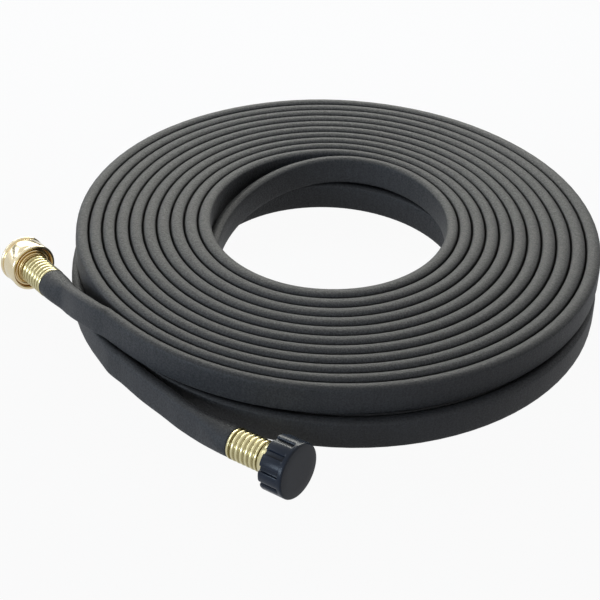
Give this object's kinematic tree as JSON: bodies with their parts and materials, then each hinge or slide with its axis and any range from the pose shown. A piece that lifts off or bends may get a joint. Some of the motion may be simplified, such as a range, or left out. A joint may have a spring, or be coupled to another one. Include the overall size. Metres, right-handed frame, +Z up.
{
  "type": "soaker hose",
  "caption": "Porous rubber soaker hose, pressed flat and coiled on edge in two layers, with a swivel inlet nut, crimped ferrules and a screw cap on the outlet.",
  "frame": {"origin": "on the floor plane, in the middle of the footprint of coil and both fittings", "axes": "+Z up, out of the coil's top layer; the coil lies flat on Z = 0; both hose ends leave at the -X, -Y side, the inlet towards -X and the outlet towards -Y"},
  "size_m": [0.3596, 0.3748, 0.0379],
  "materials": {
    "porous_rubber": "matte, fine grain",
    "bright_brass": "polished",
    "pale_brass": "satin",
    "tube_brass": "satin",
    "washer_rubber": "matte",
    "disc_plastic": "matte",
    "cap_plastic": "satin, moulded"
  },
  "bodies": {
    "root": {"hose_coil": "porous_rubber", "inlet_tail": "porous_rubber", "outlet_tail": "porous_rubber", "inlet_tailpiece": "tube_brass", "inlet_ferrule": "pale_brass", "outlet_stem": "tube_brass", "outlet_ferrule": "pale_brass"},
    "nut": {"inlet_nut": "bright_brass", "inlet_washer": "washer_rubber", "flow_restrictor": "disc_plastic"},
    "cap_seal": {"cap_washer": "washer_rubber"},
    "cap": {"end_cap": "cap_plastic"}
  },
  "joints": [
    {"name": "inlet_swivel", "type": "hinge", "parent": "root", "child": "nut", "pos_m": [-0.16632, 0.01056, 0.01474], "axis": [-0.5974, 0.7972, -0.0872], "continuous": true},
    {"name": "cap_travel", "type": "slide", "parent": "root", "child": "cap_seal", "axis": [0.8136, -0.5772, 0.0698], "range_m": [0, 0.0089]},
    {"name": "cap_turn", "type": "hinge", "parent": "cap_seal", "child": "cap", "pos_m": [-0.00304, -0.16911, 0.01656], "axis": [0.8136, -0.5772, 0.0698], "range_deg": [0, 1440]}
  ],
  "couplings": [
    {"joint": "cap_travel", "follows": "cap_turn", "m_per_rad": 0.00035153}
  ]
}
